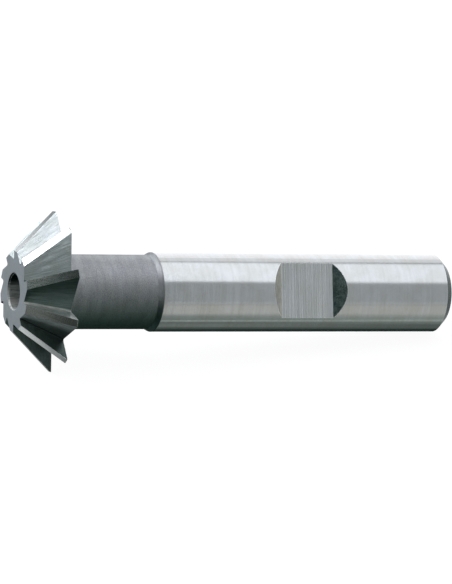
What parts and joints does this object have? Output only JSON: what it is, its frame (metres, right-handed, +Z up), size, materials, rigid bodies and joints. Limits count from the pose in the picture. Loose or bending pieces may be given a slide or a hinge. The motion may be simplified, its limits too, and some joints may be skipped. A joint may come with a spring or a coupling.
{
  "type": "angle milling cutter",
  "caption": "Small angle milling cutter that widens from its free end to a toothed 45 degree cone, with a neck and a straight shank with a clamping flat.",
  "frame": {"origin": "on the floor under the middle of the lying cutter's box", "axes": "+Z up, +X towards the shank's end, -X towards the toothed head; the tool axis falls by 5.1 degrees towards +X because the cutter rests on two tooth corners and the rim of the shank's end"},
  "size_m": [0.0586, 0.02, 0.0192],
  "materials": {
    "high_speed_steel": "ground and turned steel, bright shank, dark head and neck"
  },
  "bodies": {
    "root": {"angle_cutter": "high_speed_steel"}
  },
  "joints": []
}
